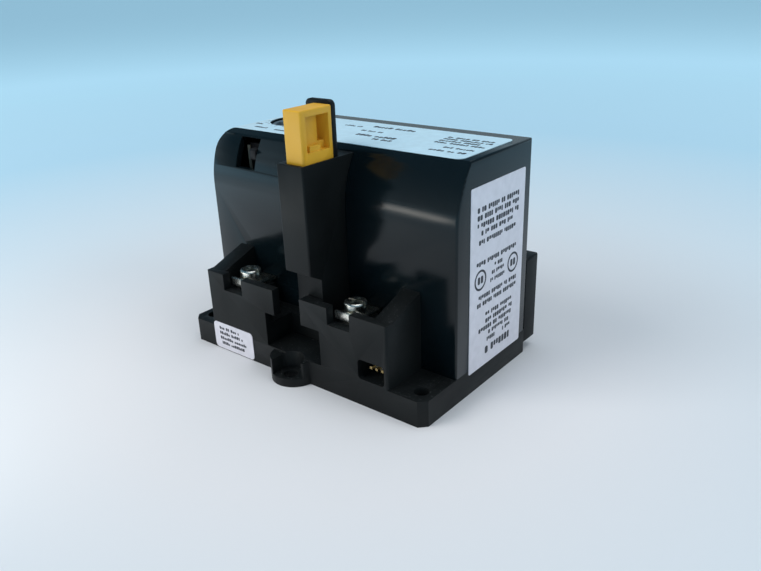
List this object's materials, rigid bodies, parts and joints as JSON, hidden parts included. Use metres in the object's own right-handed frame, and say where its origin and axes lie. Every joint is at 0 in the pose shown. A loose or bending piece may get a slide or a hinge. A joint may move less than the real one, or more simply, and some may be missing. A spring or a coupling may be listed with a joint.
{
  "type": "solid-state overload control relay",
  "caption": "Black box-shaped control relay with a curved front, a tall reset tower with a yellow cap, a setting dial, screw terminals and a foot with a mounting hole.",
  "frame": {"origin": "bottom centre of the outline, on the mounting face", "axes": "+X along the long terminal side, +Y away from the terminal side, +Z out of the mounting face"},
  "size_m": [0.0961, 0.068, 0.0826],
  "materials": {
    "housing_black": "satin black moulded thermoset",
    "cover_black": "semi-gloss black moulded cover",
    "cap_yellow": "satin yellow moulded cap",
    "lever_black": "satin black",
    "dial_grey": "semi-gloss grey dial",
    "component_blue": "moulded potentiometer body",
    "inner_plastic": "natural glass-filled nylon",
    "board_green": "green solder mask",
    "capacitor_sleeve": "shrink sleeve",
    "chip_black": "moulded chip package",
    "resistor_tan": "coated resistor body",
    "plated_steel": "zinc-plated steel",
    "spring_steel": "spring wire",
    "core_steel": "stacked silicon-steel laminations",
    "winding_copper": "enamelled copper winding",
    "contact_brass": "plated brass strip",
    "tinned_strip": "tin-plated brass strip",
    "label_top": "printed film label",
    "label_white": "printed paper label"
  },
  "bodies": {
    "housing": {"base": "housing_black", "cover": "cover_black", "rear_block": "housing_black", "reset_tower": "housing_black", "cap_guide": "housing_black", "reset_spring": "spring_steel", "potentiometer": "component_blue", "test_guide": "inner_plastic", "test_switch": "inner_plastic", "circuit_board": "board_green", "board_posts": "inner_plastic", "board_screws": "plated_steel", "capacitors": "capacitor_sleeve", "chips": "chip_black", "resistors": "resistor_tan", "trip_yoke": "plated_steel", "trip_core": "plated_steel", "trip_bobbin": "inner_plastic", "trip_coil": "winding_copper", "armature_pin": "plated_steel", "mechanism_stand": "inner_plastic", "contact_block": "inner_plastic", "contact_strip_left": "tinned_strip", "contact_strip_right": "tinned_strip", "return_leaf": "spring_steel", "terminal_screws": "plated_steel", "terminal_clamps": "plated_steel", "rear_screws": "plated_steel", "rear_clamps": "plated_steel", "rear_strips": "contact_brass", "cover_screws": "plated_steel", "socket_body": "inner_plastic", "socket_pins": "contact_brass", "rating_label": "label_top", "end_label": "label_white", "date_sticker": "label_white", "transformer_core_a": "core_steel", "transformer_winding_a": "winding_copper", "transformer_core_b": "core_steel", "transformer_winding_b": "winding_copper", "transformer_core_c": "core_steel", "transformer_winding_c": "winding_copper"},
    "reset_button": {"reset_cap": "cap_yellow", "reset_rod": "lever_black"},
    "dial": {"setting_dial": "dial_grey"},
    "test_button": {"test_lever": "lever_black"},
    "armature_body": {"armature": "plated_steel"},
    "carrier": {"contact_carrier": "inner_plastic", "contact_bridge": "contact_brass"}
  },
  "joints": [
    {"name": "reset_press", "type": "slide", "parent": "housing", "child": "reset_button", "axis": [0, 0, -1], "range_m": [0, 0.004], "stiffness_N_per_m": 300, "springref_m": -0.004, "deforming": ["reset_spring"]},
    {"name": "test_press", "type": "slide", "parent": "housing", "child": "test_button", "axis": [0, 0, -1], "range_m": [0, 0.0022], "stiffness_N_per_m": 400, "springref_m": -0.002},
    {"name": "dial_turn", "type": "hinge", "parent": "housing", "child": "dial", "pos_m": [-0.031, 0.0118, 0.0675], "axis": [0, 0, 1], "range_deg": [-135, 135]},
    {"name": "armature_swing", "type": "hinge", "parent": "housing", "child": "armature_body", "pos_m": [0.012, -0.003, 0.03], "axis": [0, 1, 0], "range_deg": [0, 8]},
    {"name": "carrier_slide", "type": "slide", "parent": "housing", "child": "carrier", "axis": [-1, 0, 0], "range_m": [0, 0.00139], "stiffness_N_per_m": 60, "springref_m": -0.002}
  ],
  "couplings": [
    {"joint": "armature_swing", "follows": "carrier_slide", "rad_per_m": 100}
  ]
}
